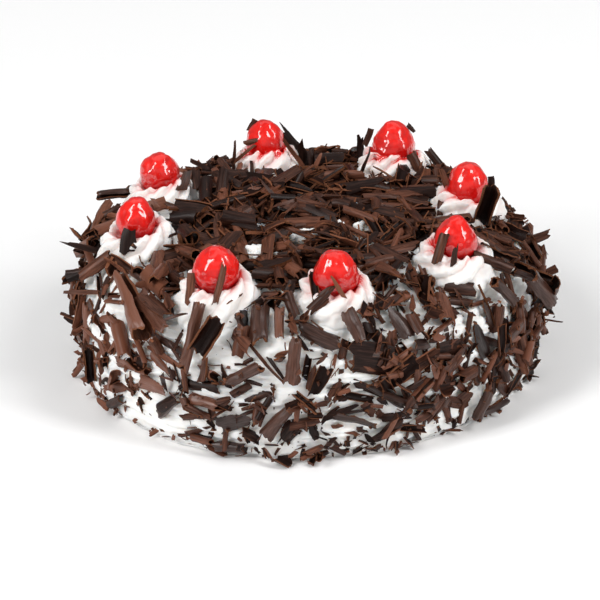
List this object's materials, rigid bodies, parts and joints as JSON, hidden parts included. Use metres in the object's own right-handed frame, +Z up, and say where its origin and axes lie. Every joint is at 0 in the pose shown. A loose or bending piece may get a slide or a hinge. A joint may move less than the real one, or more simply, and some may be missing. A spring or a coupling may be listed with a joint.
{
  "type": "black forest cake",
  "caption": "Round cream-covered cake with piped rosettes, a glazed red cherry on each, and dark chocolate curls and shavings over its top and side.",
  "frame": {"origin": "middle of the flat underside, where the cake rests on its plate or board", "axes": "+Z up, the shortest extent; -Y towards the side the cake was modelled from; +X to its right"},
  "size_m": [0.2432, 0.2373, 0.096],
  "materials": {
    "cream": "soft whipped cream spread with a palette knife, satin",
    "piped_cream": "piped whipped cream, satin, stained pink round the cherry",
    "glazed_cherry": "wet, glossy sugar glaze",
    "chocolate_shavings": "heap of dark chocolate shavings, dull sheen",
    "chocolate_curls": "dark chocolate, dull sheen, scored along the curl, paler broken edges"
  },
  "bodies": {
    "root": {"cake": "cream", "rosette_1": "piped_cream", "cherry_1": "glazed_cherry", "rosette_2": "piped_cream", "cherry_2": "glazed_cherry", "rosette_3": "piped_cream", "cherry_3": "glazed_cherry", "rosette_4": "piped_cream", "cherry_4": "glazed_cherry", "rosette_5": "piped_cream", "cherry_5": "glazed_cherry", "rosette_6": "piped_cream", "cherry_6": "glazed_cherry", "rosette_7": "piped_cream", "cherry_7": "glazed_cherry", "rosette_8": "piped_cream", "cherry_8": "glazed_cherry", "shavings_blanket": "chocolate_shavings", "curl_1": "chocolate_curls", "curl_2": "chocolate_curls", "curl_3": "chocolate_curls", "curl_4": "chocolate_curls", "curl_5": "chocolate_curls", "curl_6": "chocolate_curls", "curl_7": "chocolate_curls", "curl_8": "chocolate_curls", "curl_9": "chocolate_curls", "curl_10": "chocolate_curls", "curl_11": "chocolate_curls", "curl_12": "chocolate_curls", "curl_13": "chocolate_curls", "curl_14": "chocolate_curls", "curl_15": "chocolate_curls", "curl_16": "chocolate_curls", "curl_17": "chocolate_curls", "curl_18": "chocolate_curls", "curl_19": "chocolate_curls", "curl_20": "chocolate_curls", "curl_21": "chocolate_curls", "curl_22": "chocolate_curls", "curl_23": "chocolate_curls", "curl_24": "chocolate_curls", "curl_25": "chocolate_curls", "curl_26": "chocolate_curls", "curl_27": "chocolate_curls", "curl_28": "chocolate_curls", "curl_29": "chocolate_curls", "curl_30": "chocolate_curls", "curl_31": "chocolate_curls", "curl_32": "chocolate_curls", "curl_33": "chocolate_curls", "curl_34": "chocolate_curls", "curl_35": "chocolate_curls", "curl_36": "chocolate_curls", "curl_37": "chocolate_curls", "curl_38": "chocolate_curls", "curl_39": "chocolate_curls", "curl_40": "chocolate_curls", "curl_41": "chocolate_curls", "curl_42": "chocolate_curls"}
  },
  "joints": []
}
